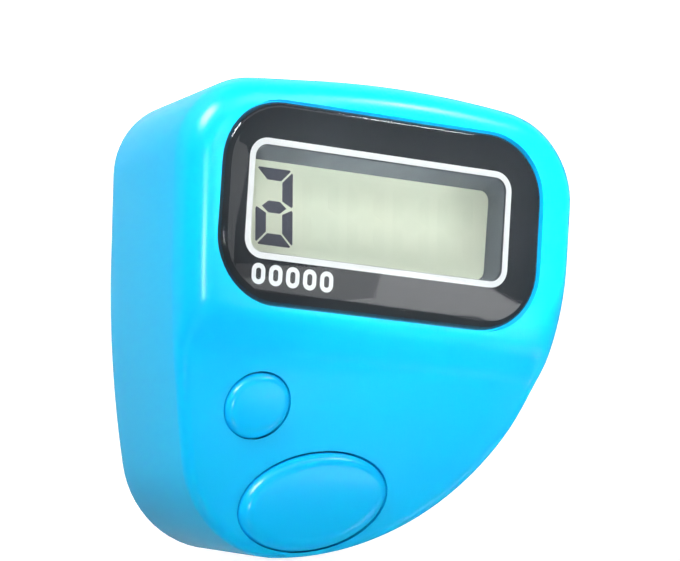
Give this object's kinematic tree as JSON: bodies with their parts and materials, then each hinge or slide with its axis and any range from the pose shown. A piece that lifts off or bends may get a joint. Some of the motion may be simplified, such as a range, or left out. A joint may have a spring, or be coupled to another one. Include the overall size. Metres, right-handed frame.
{
  "type": "digital finger counter",
  "caption": "Handheld finger tally counter with a liquid crystal display, a large count button, a small reset button and a finger strap that opens on a hinge.",
  "frame": {"origin": "under the middle of the case outline, on the surface that the finger strap rests on", "axes": "+Z out of the front face, +Y towards the top of the display, +X to the right seen from the front"},
  "size_m": [0.036, 0.0381, 0.0326],
  "materials": {
    "cyan_plastic": "glossy injection moulding",
    "lens_acrylic": "polished clear acrylic, printed behind",
    "dark_plastic": "matt",
    "lcd_glass": "polished",
    "lcd_film": "satin",
    "reflector_film": "satin metallic film",
    "zebra_rubber": "matt",
    "foam": "open foam",
    "board_green": "solder mask",
    "epoxy_black": "satin resin",
    "ceramic_tan": "fired ceramic",
    "silicone": "matt silicone",
    "cell_steel": "nickelled",
    "contact_steel": "plated spring steel",
    "screw_steel": "zinc plated",
    "strap_rubber": "satin soft plastic"
  },
  "bodies": {
    "case": {"front_shell": "cyan_plastic", "back_cover": "cyan_plastic", "display_lens": "lens_acrylic", "display_frame": "dark_plastic", "lcd_polariser": "lcd_film", "lcd_front_glass": "lcd_glass", "lcd_rear_glass": "lcd_glass", "lcd_reflector": "reflector_film", "zebra_strip": "zebra_rubber", "display_pad": "foam", "circuit_board": "board_green", "driver_chip": "epoxy_black", "chip_capacitor": "ceramic_tan", "chip_resistor": "ceramic_tan", "keypad_mat": "silicone", "count_dome": "silicone", "reset_dome": "silicone", "battery_cell": "cell_steel", "battery_holder": "dark_plastic", "battery_negative_contact": "contact_steel", "battery_positive_contact": "contact_steel", "board_screw_top": "screw_steel", "board_screw_side": "screw_steel", "board_screw_middle": "screw_steel", "case_screw_right": "screw_steel", "case_screw_left": "screw_steel", "strap_pin": "screw_steel"},
    "count_button": {"count_button": "cyan_plastic"},
    "reset_button": {"reset_button": "cyan_plastic"},
    "strap": {"strap": "strap_rubber"}
  },
  "joints": [
    {"name": "count_press", "type": "slide", "parent": "case", "child": "count_button", "axis": [0, 0, -1], "range_m": [0, 0.0011], "stiffness_N_per_m": 900, "springref_m": -0.0003, "deforming": ["count_dome"]},
    {"name": "reset_press", "type": "slide", "parent": "case", "child": "reset_button", "axis": [0, 0, -1], "range_m": [0, 0.0008], "stiffness_N_per_m": 1200, "springref_m": -0.0003, "deforming": ["reset_dome"]},
    {"name": "strap_swing", "type": "hinge", "parent": "case", "child": "strap", "pos_m": [-0.00785, 0.0035, 0.0133], "axis": [0, 1, 0], "range_deg": [0, 90]}
  ]
}
